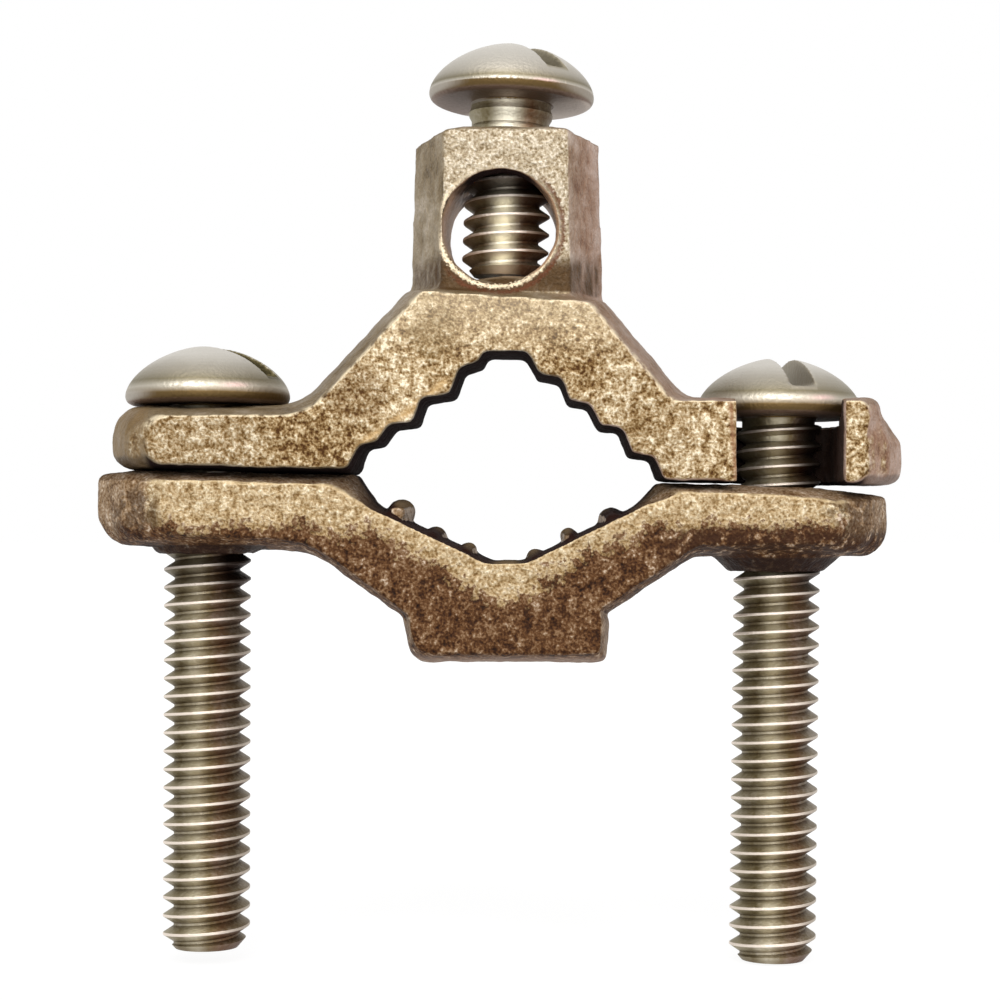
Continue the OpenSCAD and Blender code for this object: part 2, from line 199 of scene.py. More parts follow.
class Value:
    """A shader socket whose arithmetic adds the nodes that do it."""

    def __init__(self, nodes, socket):
        self.nodes, self.socket = nodes, socket

    def _math(self, operation, first, second=0.0):
        return self.nodes.node("ShaderNodeMath", {"operation": operation}, {0: first, 1: second})

    def __add__(self, other):
        return self._math("ADD", self, other)

    def __radd__(self, other):
        return self._math("ADD", other, self)

    def __sub__(self, other):
        return self._math("SUBTRACT", self, other)

    def __rsub__(self, other):
        return self._math("SUBTRACT", other, self)

    def __mul__(self, other):
        return self._math("MULTIPLY", self, other)

    def __rmul__(self, other):
        return self._math("MULTIPLY", other, self)

    def __truediv__(self, other):
        return self._math("DIVIDE", self, other)

    def __pow__(self, other):
        return self._math("POWER", self, other)

    def above(self, low, high):
        """0 below low, 1 above high and smooth between. With low over high it runs the other way."""
        if low > high:
            return 1.0 - self.above(high, low)
        return self.nodes.node(
            "ShaderNodeMapRange", {"interpolation_type": "SMOOTHSTEP"}, {0: self, 1: low, 2: high})

    def near(self, middle, width):
        """1 at middle and 0 from width away."""
        return (self - middle).size().above(width, 0.0)

    def most(self, other):
        return self._math("MAXIMUM", self, other)

    def least(self, other):
        return self._math("MINIMUM", self, other)

    def size(self):
        return self._math("ABSOLUTE", self)

    def sign(self):
        return self._math("SIGN", self)

    def tint(self, stops):
        """A colour from this value. Each stop is a place and the colour there as it looks."""
        ramp = [(at, linear(*colour)) for at, colour in stops]
        return self.nodes.node("ShaderNodeValToRGB", {"stops": ramp}, {0: self})


class Nodes:
    """A node tree whose nodes are added one by one."""

    def __init__(self, tree):
        self.tree = tree

    def node(self, kind, settings=None, sockets=None, out=0):
        """Adds a node with its settings made first, feeds its sockets, and gives one of its outputs."""
        made = self.tree.nodes.new(kind)
        for name, value in (settings or {}).items():
            if name == "stops":
                ramp = made.color_ramp.elements
                while len(ramp) < len(value):
                    ramp.new(0.5)
                for stop, (at, colour) in zip(ramp, value):
                    stop.position, stop.color = at, (*colour, 1.0)
            else:
                setattr(made, name, value)
        for name, value in (sockets or {}).items():
            self.feed(made.inputs[name], value)
        return Value(self, made.outputs[out])

    def feed(self, socket, value):
        """Links a value to a socket, or sets a number or colour on it."""
        if isinstance(value, Value):
            self.tree.links.new(value.socket, socket)
        elif isinstance(value, tuple) and len(value) == 3 and socket.type == "RGBA":
            socket.default_value = (*value, 1.0)
        else:
            socket.default_value = value

    def seen_ray(self):
        """1 for a ray from the camera, off metal or through glass, and 0 for one that lights the clamp."""
        direct, mirrored, through = (
            self.node("ShaderNodeLightPath", out=ray)
            for ray in ("Is Camera Ray", "Is Glossy Ray", "Is Transmission Ray"))
        return direct.most(mirrored).most(through)


class Paint(Nodes):
    """A material, with its places in millimetres as x, y and z and its facing as nx, ny and nz."""

    def __init__(self, name, **fixed):
        self.material = bpy.data.materials.new(name)
        self.material.use_nodes = True
        super().__init__(self.material.node_tree)
        self.shader = self.tree.nodes["Principled BSDF"]
        for socket, value in fixed.items():
            self.shader.inputs[socket.replace("_", " ")].default_value = value
        self.place = self.node("ShaderNodeTexCoord", out="Object")
        facing = self.node("ShaderNodeTexCoord", out="Normal")
        self.x, self.y, self.z = (self.axis(self.place, letter) * (1 / MM) for letter in "XYZ")
        self.nx, self.ny, self.nz = (self.axis(facing, letter) for letter in "XYZ")

    def axis(self, vector, letter):
        return self.node("ShaderNodeSeparateXYZ", {}, {0: vector}, out="XYZ".index(letter))

    def noise(self, size, detail, rough):
        """Soft lumps about size millimetres across, from 0 to 1."""
        return self.node("ShaderNodeTexNoise", {}, {
            "Vector": self.place, "Scale": 1 / (size * MM), "Detail": detail, "Roughness": rough})

    def reach(self, x, z):
        """The distance from an axis that runs from front to back."""
        return ((self.x - x) ** 2 + (self.z - z) ** 2) ** 0.5

    def spot(self, x, z, radius, ragged):
        """1 at a place on the front and 0 from radius away, with an edge that the ragged value breaks up."""
        return (self.reach(x, z) / radius + (ragged - 0.5) * 2.5).above(1.0, 0.45)

    def mix(self, share, first, second):
        """first where share is 0 and second where it is 1."""
        return self.node("ShaderNodeMix", {"data_type": "RGBA"}, {0: share, 6: first, 7: second}, out=2)

    def over(self, share, colour, under):
        """A colour, given as it looks, laid over what is under it as far as share says."""
        return self.mix(share, under, linear(*colour))

    def bump(self, height, depth):
        """A bumped normal. Height runs from 0 to 1 and depth is what 1 stands for, in millimetres."""
        return self.node("ShaderNodeBump", {}, {"Strength": 1.0, "Distance": depth * MM, "Height": height})

    def finish(self, **fed):
        for socket, value in fed.items():
            self.feed(self.shader.inputs[socket.replace("_", " ")], value)
        return self.material


# Camera

bpy.ops.object.camera_add(location=mm(2.67, -163.0, -2.16), rotation=(math.pi / 2, 0, 0))
camera = bpy.context.active_object
camera.data.lens = 83.46
camera.data.sensor_width = 36
camera.data.shift_x, camera.data.shift_y = -0.045, 0.010
camera.data.clip_start = 0.01
bpy.context.scene.camera = camera


# Finishes of the castings, whose colours are given as they look

SPECKLED_GOLD = [
    (0.36, (70, 42, 14)), (0.43, (114, 86, 48)), (0.5, (158, 134, 97)),
    (0.57, (194, 175, 143)), (0.66, (244, 232, 206))]
SPECKLED_CREAM = [
    (0.36, (122, 104, 76)), (0.46, (163, 148, 123)), (0.54, (186, 173, 151)), (0.64, (222, 212, 194))]
OLIVE_SIDE = [(0.36, (90, 74, 50)), (0.46, (130, 114, 88)), (0.56, (156, 142, 120)), (0.66, (186, 173, 156))]
PINK_SIDE = [(0.36, (118, 82, 60)), (0.46, (153, 124, 104)), (0.56, (178, 154, 140)), (0.66, (202, 186, 174))]
LOWER_GOLD = [
    (0.36, (112, 84, 48)), (0.44, (152, 127, 88)), (0.5, (177, 154, 119)),
    (0.57, (200, 182, 149)), (0.66, (238, 226, 200))]
LOWER_SIDE = [(0.36, (88, 60, 34)), (0.46, (134, 108, 78)), (0.56, (160, 136, 110)), (0.66, (200, 182, 160))]
MOTTLED_BROWN = [
    (0.36, (22, 8, 2)), (0.44, (56, 30, 10)), (0.51, (92, 60, 32)),
    (0.58, (132, 104, 76)), (0.67, (214, 196, 176))]

PALE_GOLD, DULL_GOLD, TOOTH_GOLD = (222, 206, 176), (92, 66, 30), (188, 156, 108)
BROWN_STAIN, OLIVE_STAIN, DARK_BLOT = (84, 58, 34), (104, 82, 42), (50, 26, 10)
SIDE_TOP, SIDE_END, FOOT_EDGE = (96, 78, 52), (120, 96, 62), (168, 144, 128)
# The boss foot's colour is painted shade, and the burr's is partly a painted highlight
BOSS_FOOT_SHADE, MOUTH_RING, MOUTH_BURR_AND_HIGHLIGHT = (72, 50, 24), (92, 50, 30), (246, 228, 196)
# The slot lip's colour is painted shade
HOLE_WALL, SLOT_LIP_SHADE, SEAT_RIB = (176, 142, 114), (146, 106, 80), (118, 98, 70)
# Bright edge colours, partly wear and partly a painted highlight
UPPER_WEAR_AND_HIGHLIGHT, LOWER_WEAR_AND_HIGHLIGHT = (236, 220, 188), (222, 200, 160)
# The last two colours are painted shade: between the jaws, and under the lower jaw's ears round the screws
UNLIT, MATING_FACE_SHADE, SHADE_UNDER_EARS = (26, 9, 8), (36, 18, 13), (34, 17, 11)


def cast_skin(paint, depth):
    """The lumps, grain and specks of a sand casting, with the normal that they make."""
    lumps = paint.noise(1.4, 3.0, 0.6)
    grain = paint.noise(0.6, 3.0, 0.6)
    specks = paint.noise(0.2, 1.0, 0.5)
    return lumps, grain, specks, paint.bump(lumps * 0.4 + grain * 0.42 + specks * 0.18, depth)


def worn_and_lit_edges(paint, from_y, to_y):
    """The rounded edges between the front and what faces up, near both faces of a casting.
    Their brighter colour is partly wear and partly a painted highlight.
    """
    edge = paint.nz.above(0.12, 0.4) * paint.nz.above(0.95, 0.8) * paint.ny.size().above(0.3, 0.6)
    return edge * paint.y.size().above(from_y, to_y)


def gold_face(paint, grain, specks, cloud):
    """The upper jaw's faces: speckled gold on its arms, with some stains, and cream on its boss."""
    x, z = paint.x, paint.z
    speckle = grain * 0.6 + specks * 0.4 + (cloud - 0.5) * 0.3
    gold = speckle.tint(SPECKLED_GOLD)
    cream = (grain * 0.45 + specks * 0.55).tint(SPECKLED_CREAM)
    # Paler towards the crown, browner on the left ear and on the middle of the right arm
    gold = paint.over(z.above(7.5, 12.0) * 0.3, PALE_GOLD, gold)
    gold = paint.over(x.above(-14.0, -18.0) * 0.3, DULL_GOLD, gold)
    gold = paint.over(x.above(4.0, 9.0) * x.above(15.0, 11.0) * 0.16, DULL_GOLD, gold)
    gold = paint.mix(z.above(12.4, 13.6), gold, cream)
    # Two stains on the left arm, and the smoother strip along its teeth
    gold = paint.over(paint.spot(-9.4, 5.9, 2.8, cloud) * 0.25, BROWN_STAIN, gold)
    gold = paint.over(paint.spot(-5.2, 9.7, 2.2, cloud) * 0.3, OLIVE_STAIN, gold)
    strip = (z - 10.0 - x * 0.75 + (cloud - 0.5) * 0.8).near(-0.45, 0.55)
    strip = strip * x.above(-3.6, -4.4) * x.above(-10.4, -9.6)
    return paint.over(strip * 0.7, TOOTH_GOLD, gold)


def gold_sides(paint, soft):
    """The upper jaw's drafted sides: olive drab on the left and dull pink on the right, darker on top."""
    side = paint.mix(paint.x.above(2.0, 6.0), soft.tint(OLIVE_SIDE), soft.tint(PINK_SIDE))
    side = paint.over(paint.nz.above(0.3, 0.6) * 0.45, SIDE_TOP, side)
    return paint.over(paint.x.above(-24.0, -24.8) * 0.6, SIDE_END, side)


def boss_marks(paint, cloud, specks, near_face, colour):
    """The boss's foot darkened with painted shade where its hollow is, and round the wire hole's mouth
    a brown ring and a bright burr, partly a painted highlight that fades at the top.
    """
    x, ny, z = paint.x, paint.ny, paint.z
    # Painted shade in the hollow along the boss's foot
    foot = (z + (cloud - 0.5) * 1.6).above(15.8, 14.4) * z.above(12.5, 12.8) * paint.y.size().above(6.3, 6.0)
    foot = foot * x.size().above(6.7, 6.2) * ny.size().above(0.25, 0.5)
    colour = paint.over(foot * 0.95, BOSS_FOOT_SHADE, colour)
    mouth = paint.reach(-0.58, 17.1) + (specks - 0.5) * 0.5
    low_right = (x - z + 17.7).above(-1.5, 1.5)
    rim = ny.size().above(0.2, 0.5) * near_face
    colour = paint.over(mouth.near(4.5, 0.28) * low_right * rim * 0.8, MOUTH_RING, colour)
    # A bright burr on the mouth's edge, partly a painted highlight that fades towards the top
    bright = mouth.near(4.06, 0.24) * rim * (1.0 - z.above(18.8, 20.4) * 0.7)
    return paint.over(bright, MOUTH_BURR_AND_HIGHLIGHT, colour)


def unlit_faces(paint, face, in_hole):
    """The upper jaw's near-black faces: its underside, its toothed seat and the walls of its ear's slot."""
    x, z, nz = paint.x, paint.z, paint.nz
    beneath = nz.above(-0.25, -0.5) * (1.0 - in_hole) * (1.0 - x.size().above(24.0, 24.6) * 0.5)
    beneath = beneath.most(nz.above(-0.45, -0.85) * in_hole)
    seat = (paint.nx * x.sign()).above(-0.25, -0.5) * x.size().above(11.6, 10.8) * z.above(9.8, 9.2)
    slot = (x - EAR_SLOT_X).size().above(4.4, 4.0) * z.above(8.0, 7.0) * nz.above(0.6, 0.4)
    unlit = beneath.most(seat) * paint.y.size().above(6.5, 6.25)
    return unlit.most(slot * paint.y.size().above(6.3, 5.7) * 0.9) * (1.0 - face)


def gold_bronze():
    """The upper jaw's finish."""
    paint = Paint("gold cast bronze", Specular_IOR_Level=0.15)
    lumps, grain, specks, normal = cast_skin(paint, 0.4)
    cloud = paint.noise(4.5, 2.0, 0.55)
    near_face = paint.y.size().above(4.4, 4.9)
    face = paint.ny.size().above(0.68, 0.82) * near_face
    sides = gold_sides(paint, cloud * 0.45 + lumps * 0.4 + specks * 0.15)
    colour = paint.mix(face, sides, gold_face(paint, grain, specks, cloud))
    # The upward front edges are lighter, partly from wear and partly as a painted highlight
    worn_and_lit = worn_and_lit_edges(paint, 5.9, 6.3) * grain.above(0.36, 0.56) * 0.7
    colour = paint.over(worn_and_lit, UPPER_WEAR_AND_HIGHLIGHT, colour)
    colour = boss_marks(paint, cloud, specks, near_face, colour)
    in_hole = paint.reach(HOLE_X, HOLE_Z).above(4.1, 3.95) * (1.0 - face) * paint.z.above(13.6, 14.4)
    colour = paint.over(in_hole, HOLE_WALL, colour)
    # Painted shade along the lip of the ear's slot
    lip = (paint.x + paint.z * 0.07 - EAR_SLOT_LIP_X).near(0.0, 0.3) * paint.z.above(5.5, 4.8)
    colour = paint.over(lip * face * 0.6, SLOT_LIP_SHADE, colour)
    unlit = unlit_faces(paint, face, in_hole)
    colour = paint.over(unlit, UNLIT, colour)
    return paint.finish(
        Base_Color=colour, Metallic=(0.15 + face * 0.2) * (1.0 - unlit), Normal=normal,
        Roughness=(0.66 - grain * 0.3).most(unlit))


def bronze_faces(paint, face, lumps, grain, specks):
    """The lower jaw's clean metal: gold on its faces and drab on its sides."""
    gold = (grain * 0.6 + specks * 0.4).tint(LOWER_GOLD)
    drab = (lumps * 0.5 + specks * 0.5).tint(LOWER_SIDE)
    return paint.mix(face, drab, gold)


def brown_stain(paint, face, patch, lumps, grain, specks):
    """How far the brown stain covers the lower jaw, from some way under its top edge down, and its colour."""
    x = paint.x
    top_edge = (x.size() - 10.0).least(0.0) * 0.5
    under = top_edge - paint.z + (patch - 0.5) * 3.5 + (grain - 0.5) * 6.0 + x.above(-4.0, 6.0) * 0.1
    stain_and_shade = under.above(2.9, 3.6) * (0.3 + face * 0.7).most(paint.nz.above(-0.1, -0.5))
    return stain_and_shade, (lumps * 0.25 + grain * 0.45 + specks * 0.3).tint(MOTTLED_BROWN)


def dark_blots(paint, patch, grain, colour):
    """Blots on both ears of the lower jaw and all along under its right ear."""
    blots = paint.spot(-24.8, -2.6, 2.3, patch).most(paint.spot(24.2, -2.4, 2.6, patch)) * 0.6
    blots = blots.most(paint.x.above(9.0, 13.0) * paint.z.above(-3.0, -4.0) * 0.8)
    return paint.over(blots * grain.above(0.62, 0.5), DARK_BLOT, colour)


def seat_ribs(paint, face):
    """The noses of the ribs across the lower jaw's seat, which stand over its two slopes."""
    nose = (paint.z + 6.55 - paint.x.size() * 0.6).above(0.0, 0.6) * paint.x.size().above(10.2, 9.6)
    return nose * paint.nz.above(0.1, 0.5).most(paint.ny.size() * 0.7) * (1.0 - face)


def shade_round_screws(paint, grain):
    """Painted shade under the lower jaw's ears, round both clamp screws."""
    left = (paint.x - LEFT.x).size().above(5.2, 4.2) * paint.z.above(-4.3, -4.8)
    right = (paint.x - RIGHT.x).size().above(5.4, 4.2) * paint.z.above(-5.1, -5.8)
    return (left.most(right) + (grain - 0.5) * 0.8).above(0.3, 0.7)


def browned_bronze():
    """The lower jaw's finish: gold along its top edge, mottled brown below and dark where it faces up."""
    paint = Paint("browned cast bronze", Specular_IOR_Level=0.15)
    lumps, grain, specks, normal = cast_skin(paint, 0.45)
    patch = paint.noise(3.2, 2.0, 0.6)
    face = paint.ny.size().above(0.4, 0.7) * paint.y.size().above(5.9, 6.2)
    stain_and_shade, brown = brown_stain(paint, face, patch, lumps, grain, specks)
    colour = paint.mix(stain_and_shade, bronze_faces(paint, face, lumps, grain, specks), brown)
    colour = dark_blots(paint, patch, grain, colour)
    colour = paint.over(paint.z.above(-11.9, -12.5) * 0.6, FOOT_EDGE, colour)
    # The upward front edges are lighter, partly from wear and partly as a painted highlight
    colour = paint.over(worn_and_lit_edges(paint, 5.7, 6.2) * 0.4, LOWER_WEAR_AND_HIGHLIGHT, colour)
    # The mating faces, shut in between the jaws, are darkened with painted shade, less towards the front and
    # back, most of all on the right
    upward = paint.nz.above(0.3, 0.5) * (1.0 - face)
    less_shaded = paint.x.size().above(8.0, 11.0) * paint.y.size().above(0.5, 3.0)
    less_shaded = less_shaded * (0.5 + paint.x.above(0.0, 2.0) * 0.35)
    colour = paint.over(upward * (1.0 - less_shaded), MATING_FACE_SHADE, colour)
    colour = paint.over(seat_ribs(paint, face) * 0.8, SEAT_RIB, colour)
    # Painted shade under the ears, round the screws
    colour = paint.over(shade_round_screws(paint, grain) * 0.85, SHADE_UNDER_EARS, colour)
    return paint.finish(
        Base_Color=colour, Metallic=(0.3 - stain_and_shade * 0.2) * (1.0 - upward), Normal=normal,
        Roughness=(0.66 + stain_and_shade * 0.1 - grain * 0.3).most(upward))


# Finish of the screws

BLOTCHED_STEEL = [
    (0.36, (110, 96, 66)), (0.46, (150, 138, 108)), (0.54, (176, 167, 142)), (0.64, (216, 208, 192))]
# Painted reflections and highlights, by the place across the shank from left to right
REFLECTION_STRIPES = [
    (0.08, (150, 142, 116)), (0.24, (108, 96, 64)), (0.38, (206, 198, 174)), (0.46, (214, 206, 184)),
    (0.58, (128, 108, 72)), (0.7, (110, 64, 44)), (0.86, (72, 50, 34))]

# Painted shade on the flanks that face up, and a painted reddish reflection on those that face down
ROOT_BROWN, UPPER_FLANK_SHADE, LOWER_FLANK_REFLECTION = (64, 38, 24), (92, 78, 52), (84, 44, 32)
# Painted highlights on the middle and the crests, and painted shade on the shank inside and under the
# castings
MIDDLE_HIGHLIGHT, CREST_HIGHLIGHT, SHANK_SHADE = (255, 250, 232), (244, 232, 220), (38, 19, 13)
# Painted reflections, highlights and shade on the heads
HEAD_END_REFLECTION, HEAD_HIGHLIGHT = (190, 184, 174), (232, 225, 210)
HEAD_PINK_HIGHLIGHT, HEAD_UNDER_SHADE = (222, 190, 184), (128, 108, 96)


def shank_colour(paint, off_x, out, blotch, fine, shade_from, shade_to, stain_and_shade, painted_gleam):
    """Silver with painted reflections streaked along the shank, brown in the roots, painted highlights on the
    crests, and painted shade where the shank is inside and under a casting.
    """
    z, nz = paint.z, paint.nz
    across = off_x / THREAD_R
    steel = (blotch * 0.65 + fine * 0.35).tint(BLOTCHED_STEEL)
    # Painted reflections that run along the shank, by the place across it
    reflection_stripes = (across * 0.5 + 0.5 + (blotch - 0.5) * 0.25).tint(REFLECTION_STRIPES)
    shank = paint.mix(0.6, steel, reflection_stripes)
    shank = paint.over(out.above(2.6, 2.3) * 0.3, ROOT_BROWN, shank)
    # The flanks that face up get painted olive shade, and those that face down a painted reddish reflection,
    # most on the right
    shank = paint.over(nz.above(0.2, 0.6) * 0.25, UPPER_FLANK_SHADE, shank)
    shank = paint.over(nz.above(-0.2, -0.6) * (0.1 + across.above(0.0, 0.8) * 0.4), LOWER_FLANK_REFLECTION, shank)
    # A painted highlight down the middle, as far as gleam says
    shank = paint.over(across.near(-0.05, 0.5) * painted_gleam, MIDDLE_HIGHLIGHT, shank)
    # Painted highlights on the crests, weaker on the right
    crests = out.above(2.97, 3.005) * (0.85 - across.above(0.3, 0.9) * 0.45)
    shank = paint.over(crests, CREST_HIGHLIGHT, shank)
    # Painted shade on the shank where it is inside and under the castings, all round and more on the right
    in_casting = z.above(shade_from - 1.0, shade_from + 1.0) * z.above(shade_to + 0.3, shade_to - 0.3)
    shaded = in_casting * (stain_and_shade + across.above(0.1, 0.8) * 0.7).least(0.92)
    return paint.over(shaded, SHANK_SHADE, shank)


def head_colour(paint, blotch, fine, shine, painted_gleam):
    """Silver, painted by the dome's slope with reflections: a bright painted highlight band low on the dome,
    painted shade browner under the band and greyer under the head.
    """
    nx, nz = paint.nx, paint.nz
    top = nz + (blotch - 0.5) * 0.08
    # Painted reflection bands by how far the dome's normal rises: dark at the rim, light at shine, darker
    # above, light on top
    head = top.tint([
        (0.0, (98, 78, 46)), (0.06, (112, 92, 60)), (shine, (184, 177, 163)), (shine + 0.18, (124, 116, 94)),
        (shine + 0.4, (166, 160, 148)), (0.92, (200, 196, 188))])
    # Painted reflections lighten the head's left end, and its right end as far as gleam says
    ends = nx.above(-0.45, -0.85).most(nx.above(0.45, 0.85) * painted_gleam)
    head = paint.over(ends * nz.above(0.35, 0.1) * 0.7, HEAD_END_REFLECTION, head)
    # A painted highlight band, pale in the middle and pink to the right
    band = top.near(shine, 0.14)
    head = paint.over(band * nx.near(-0.08, 0.5) * fine.above(0.35, 0.6), HEAD_HIGHLIGHT, head)
    head = paint.over(band * nx.near(0.42, 0.22) * 0.7, HEAD_PINK_HIGHLIGHT, head)
    # Painted shade under the head
    return paint.over(nz.above(-0.4, -0.9) * 0.9, HEAD_UNDER_SHADE, head)


def screw_steel(name, screw, shine, stain_and_shade, shade_from, shade_to, slot_light_and_shade, painted_gleam=0.0):
    """Plated steel for one screw.

    The head's painted highlight band lies where the dome's normal rises to shine. From the lower to the upper
    height given, the shank is darkened with painted shade all round, and more on its right, as far as its
    share says. Gleam is how far its middle and the head's right end are painted with a highlight.
    """
    paint = Paint(name, Metallic=0.85)
    blotch = paint.noise(2.6, 3.0, 0.6)
    fine = paint.noise(0.25, 2.0, 0.6)
    # Distances from the leaning axis
    rise = paint.z - screw.pivot
    off_x = paint.x - (screw.x + screw.aside) - rise * math.tan(screw.lean)
    off_y = paint.y - rise * math.tan(screw.tilt)
    out = (off_x ** 2 + off_y ** 2) ** 0.5
    up = paint.z - screw.seat
    shank = shank_colour(paint, off_x, out, blotch, fine, shade_from, shade_to, stain_and_shade, painted_gleam)
    head = head_colour(paint, blotch, fine, shine, painted_gleam)
    # The slot's colour is painted light and shade, set for each screw: dark in the left head's slot, lit in
    # the others
    beside = (off_y * math.cos(screw.slot_turn) - off_x * math.sin(screw.slot_turn)).size()
    slot = beside.above(0.98, 0.9) * up.above(1.5, 1.8) * out.above(5.4, 5.2)
    head = paint.over(slot, slot_light_and_shade, head)
    colour = paint.mix(up.above(-0.1, 0.0), shank, head)
    return paint.finish(Base_Color=colour, Roughness=0.42 + fine * 0.18, Normal=paint.bump(fine, 0.045))


# Castings

def casting_copy(name, node):
    """The CAD casting as a mesh of its own."""
    only(frame["nodes"][node])
    bpy.ops.object.duplicate()
    piece = bpy.context.active_object
    for key in list(piece.keys()):
        del piece[key]
    bpy.ops.object.parent_clear(type="CLEAR_KEEP_TRANSFORM")
    piece.name = name
    with editing(piece):
        bpy.ops.mesh.remove_doubles(threshold=0.002 * MM)
        bpy.ops.mesh.normals_make_consistent(inside=False)
    return piece


def cast_surface(piece, lump_depth):
    """Remeshes a casting finely, softens its edges and gives it a lumpy cast skin."""
    modify(piece, "REMESH", mode="VOXEL", voxel_size=VOXEL * MM)
    modify(piece, "SMOOTH", factor=0.5, iterations=3)
    skin = bpy.data.textures.new(piece.name + " skin", "CLOUDS")
    skin.noise_scale, skin.noise_depth = SKIN_LUMP * MM, 2
    modify(piece, "DISPLACE", texture=skin, strength=lump_depth * MM, mid_level=0.5, texture_coords="LOCAL")
    only(piece)
    bpy.ops.object.shade_smooth()


def file_boss_top(casting, x, slope, side=12):
    """Planes off what stands above a line through the boss's top at x, which falls by slope to the right."""
    angle = math.radians(slope)
    middle = mm(x + math.sin(angle) * side / 2, 0, BOSS_TOP + math.cos(angle) * side / 2)
    cut(casting, start(
        bpy.ops.mesh.primitive_cube_add, size=side * MM, rotation=(0, angle, 0), location=middle))


def widen_wire_hole(casting, drill_r=3.84, drill_length=16, skew=1.9):
    """Runs a wider drill through the wire hole, turned a little out of true."""
    cut(casting, start(
        bpy.ops.mesh.primitive_cylinder_add, vertices=64, radius=drill_r * MM, depth=drill_length * MM,
        location=mm(HOLE_X - 0.03, 0, HOLE_Z - 0.05), rotation=(math.pi / 2, 0, math.radians(-skew))))


def notch_ear(casting, middle=(23.0, 2.1, 4.2), size=(3.4, 11.2, 1.0)):
    """Lowers the ear beside and behind its slot, under the screw head's right side."""
    cut(casting, start(bpy.ops.mesh.primitive_cube_add, size=MM, location=mm(*middle), scale=size))


def add_burr(casting, middle=(0.1, -2.2, 13.35), size=(2.7, 2.7, 0.66)):
    """Leaves a low burr on the wire hole's floor, under the screw's tip."""
    burr = start(
        bpy.ops.mesh.primitive_uv_sphere_add, segments=24, ring_count=12, radius=MM,
        location=mm(*middle), scale=size)
    only(casting, burr)
    bpy.ops.object.join()


def raise_lands(casting, lift=0.17, skin=0.3, seat_edge=9.8, half_depth=5.3):
    """Lifts the middle of the mating faces beside the seat a little proud of the split, as cast."""
    with editing(casting):
        bpy.ops.mesh.select_all(action="DESELECT")
        bpy.ops.object.mode_set(mode="OBJECT")
        for corner in casting.data.vertices:
            x, y, z = corner.co / MM
            corner.select = z > SPLIT_SLOPE * x - skin and abs(x) > seat_edge and abs(y) < half_depth
        bpy.ops.object.mode_set(mode="EDIT")
        bpy.ops.transform.translate(value=mm(0, 0, lift))


upper = casting_copy("upper_casting", "upper_jaw")
file_boss_top(upper, x=-2.7, slope=-11.0)
file_boss_top(upper, x=2.9, slope=9.0)
widen_wire_hole(upper)
notch_ear(upper)
add_burr(upper)
cast_surface(upper, lump_depth=0.16)
coat(upper, gold_bronze())
stand_for(upper, "upper_jaw")

lower = casting_copy("lower_casting", "lower_jaw")
raise_lands(lower)
cast_surface(lower, lump_depth=0.2)
coat(lower, browned_bronze())
stand_for(lower, "lower_jaw")


# Screws, each made with its head's underside at the origin

# Necks under the heads, as distances out and up
PLAIN_NECK = [(0, -1.75), (2.45, -1.75), (2.55, -1.4), (2.55, -0.3), (2.9, 0.3), (0, 0.3)]
FLARED_NECK = [
    (0, -2.5), (2.55, -2.5), (2.86, -2.05), (2.86, -1.85), (2.72, -1.6), (2.74, -1.25), (2.9, -0.98),
    (2.96, -0.7), (2.8, -0.3), (2.9, 0.3), (0, 0.3)]


def drawn(name, points):
    """A line of edges through points given as x and z, each extruded from the one before."""
    piece = start(bpy.ops.mesh.primitive_plane_add, size=MM, location=(0, 0, 0))
    piece.name = name
    with editing(piece):
        bpy.ops.mesh.merge(type="CENTER")
        bpy.ops.transform.translate(value=mm(points[0][0], 0, points[0][1]))
        for (x0, z0), (x1, z1) in zip(points, points[1:]):
            bpy.ops.mesh.extrude_region_move(TRANSFORM_OT_translate={"value": mm(x1 - x0, 0, z1 - z0)})
    return piece


def spun(piece, steps, **settings):
    """Carries a drawn line round the Z axis, once or as the settings say."""
    modify(piece, "SCREW", axis="Z", angle=2 * math.pi, steps=steps, render_steps=steps,
           use_merge_vertices=False, **settings)


def turned(name, points, steps):
    """A turned solid whose outline starts and ends on its axis."""
    piece = drawn(name, points)
    spun(piece, steps)
    with editing(piece):
        bpy.ops.mesh.remove_doubles(threshold=WELD * MM)
        bpy.ops.mesh.normals_make_consistent(inside=False)
    return piece


def saw_through(height, **side):
    """Cuts the piece in edit mode at a height, closes the cut, and drops one side of it."""
    bpy.ops.mesh.select_all(action="SELECT")
    bpy.ops.mesh.bisect(plane_co=mm(0, 0, height), plane_no=(0, 0, 1), use_fill=True, **side)


def threaded(name, length, crest_z, top):
    """A right-hand thread from top down to a bevelled tip. At the right-hand side a crest lies at crest_z."""
    crest, flank = 0.07 * PITCH, 0.43 * PITCH
    root, round_off = 0.06 * PITCH, 0.3 * crest
    turns = math.ceil((length + 2 * PITCH) / PITCH)
    low = crest_z % PITCH - PITCH / 2 - turns * PITCH
    high = low + PITCH
    rod = drawn(name, [
        (ROOT_R, low), (ROOT_R + 0.01, low + root), (THREAD_R - 0.02, low + flank),
        (THREAD_R, low + flank + round_off), (THREAD_R, high - flank - round_off),
        (THREAD_R - 0.02, high - flank), (ROOT_R + 0.01, high - root), (ROOT_R, high)])
    spun(rod, SHANK_STEPS, screw_offset=PITCH * MM, iterations=turns)
    with editing(rod):
        bpy.ops.mesh.remove_doubles(threshold=WELD * MM)
        saw_through(-(length + 0.5), clear_inner=True)
        saw_through(top, clear_outer=True)
        bpy.ops.mesh.select_all(action="SELECT")
        bpy.ops.mesh.normals_make_consistent(inside=False)
    outside = THREAD_R + 0.02
    above = 2.0
    blank = turned(name + " blank", [
        (0, -length), (TIP_R, -length), (outside, -length + TIP_BEVEL), (outside, above), (0, above)],
        SHANK_STEPS)
    cut(rod, blank, "INTERSECT")
    return rod


